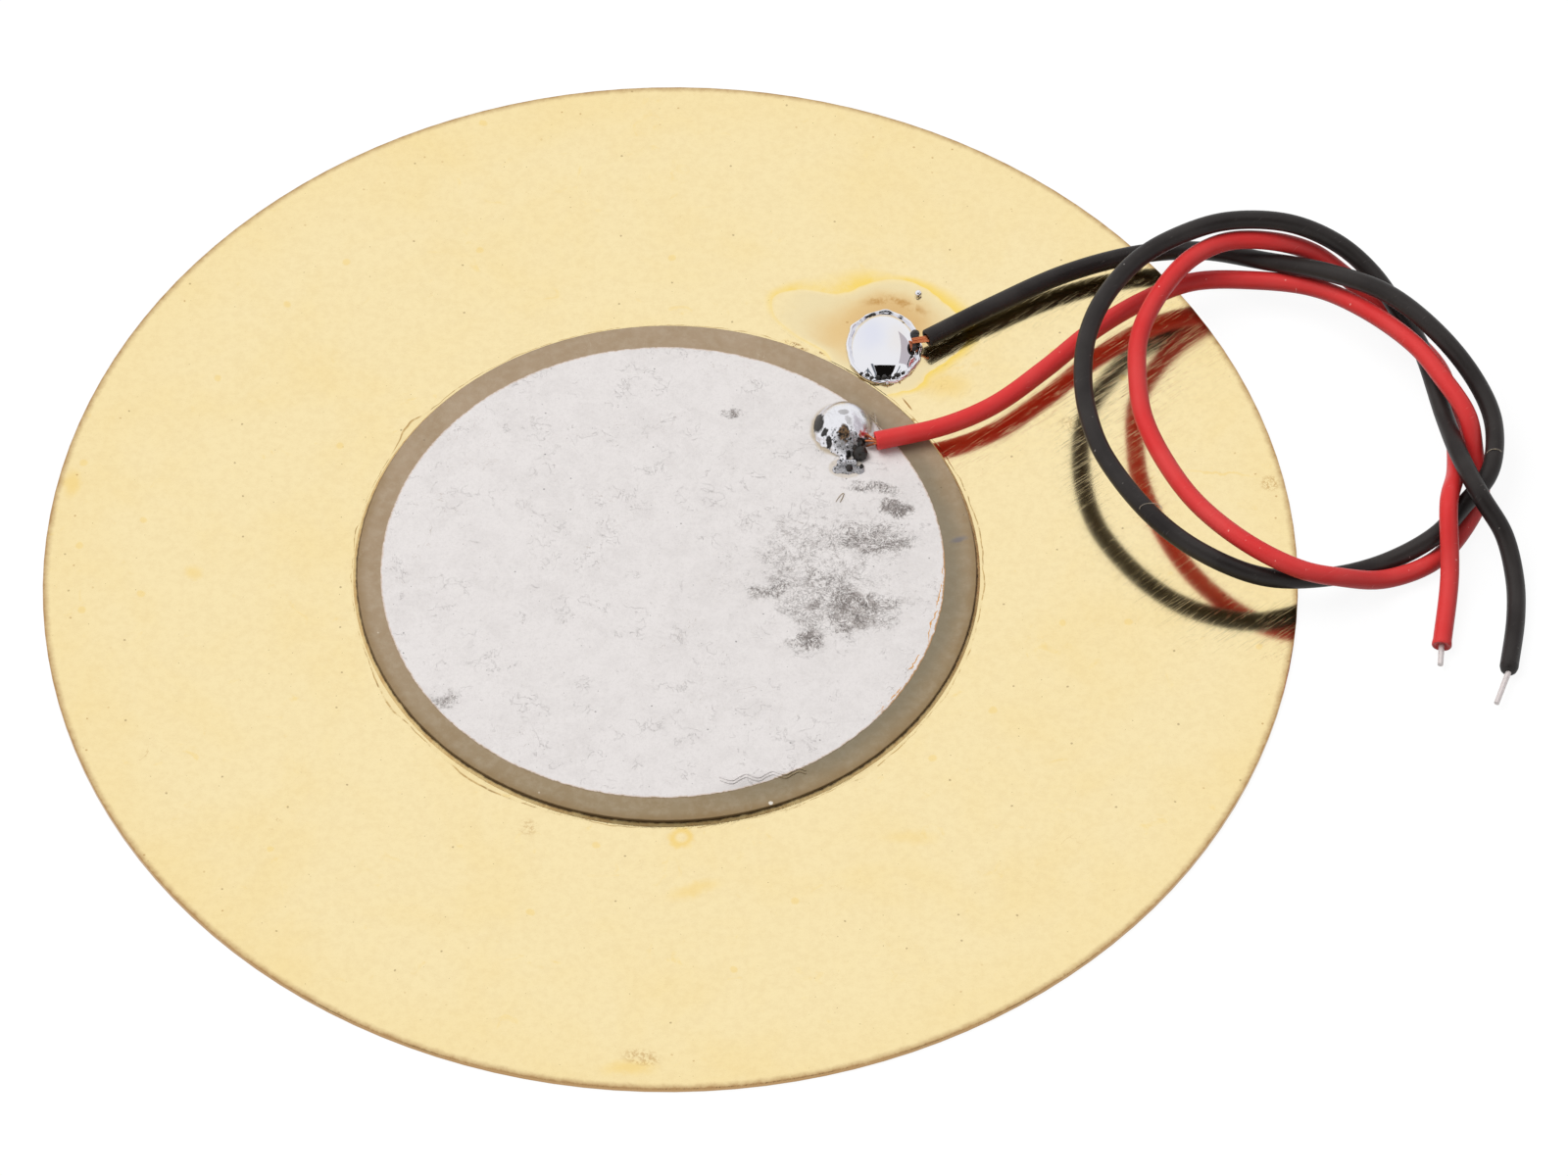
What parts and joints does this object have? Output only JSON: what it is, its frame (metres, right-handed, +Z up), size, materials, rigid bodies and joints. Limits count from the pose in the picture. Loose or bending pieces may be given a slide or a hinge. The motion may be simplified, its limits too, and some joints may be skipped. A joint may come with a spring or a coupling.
{
  "type": "piezo disc",
  "caption": "Round brass piezo bender disc with a bonded ceramic element, silver electrode, solder joints and loosely looped red and black leads with tinned ends.",
  "frame": {"origin": "centre of the plate's underside, where the disc rests", "axes": "+Z up, square to the plate; +X from the plate's centre towards the side where the leads run off; +Y completes the right-handed frame"},
  "size_m": [0.059, 0.05, 0.0039],
  "materials": {
    "brass": "bright rolled sheet, lightly tarnished",
    "glue": "dried brown glue",
    "ceramic": "matte grey-brown fired ceramic",
    "silver": "matte fired silver paste",
    "solder": "bright tin solder",
    "flux": "thin dried flux",
    "copper": "bare copper strands",
    "black_insulation": "satin soft plastic insulation",
    "red_insulation": "satin soft plastic insulation",
    "tinned_copper": "tinned copper"
  },
  "bodies": {
    "root": {"brass_plate": "brass", "adhesive": "glue", "lower_electrode": "silver", "ceramic_disc": "ceramic", "upper_electrode": "silver", "plate_solder": "solder", "electrode_solder": "solder", "solder_bead": "solder", "flux_film": "flux", "black_strands": "copper", "red_strands": "copper", "black_wire": "black_insulation", "red_wire": "red_insulation", "black_tip": "tinned_copper", "red_tip": "tinned_copper"}
  },
  "joints": []
}
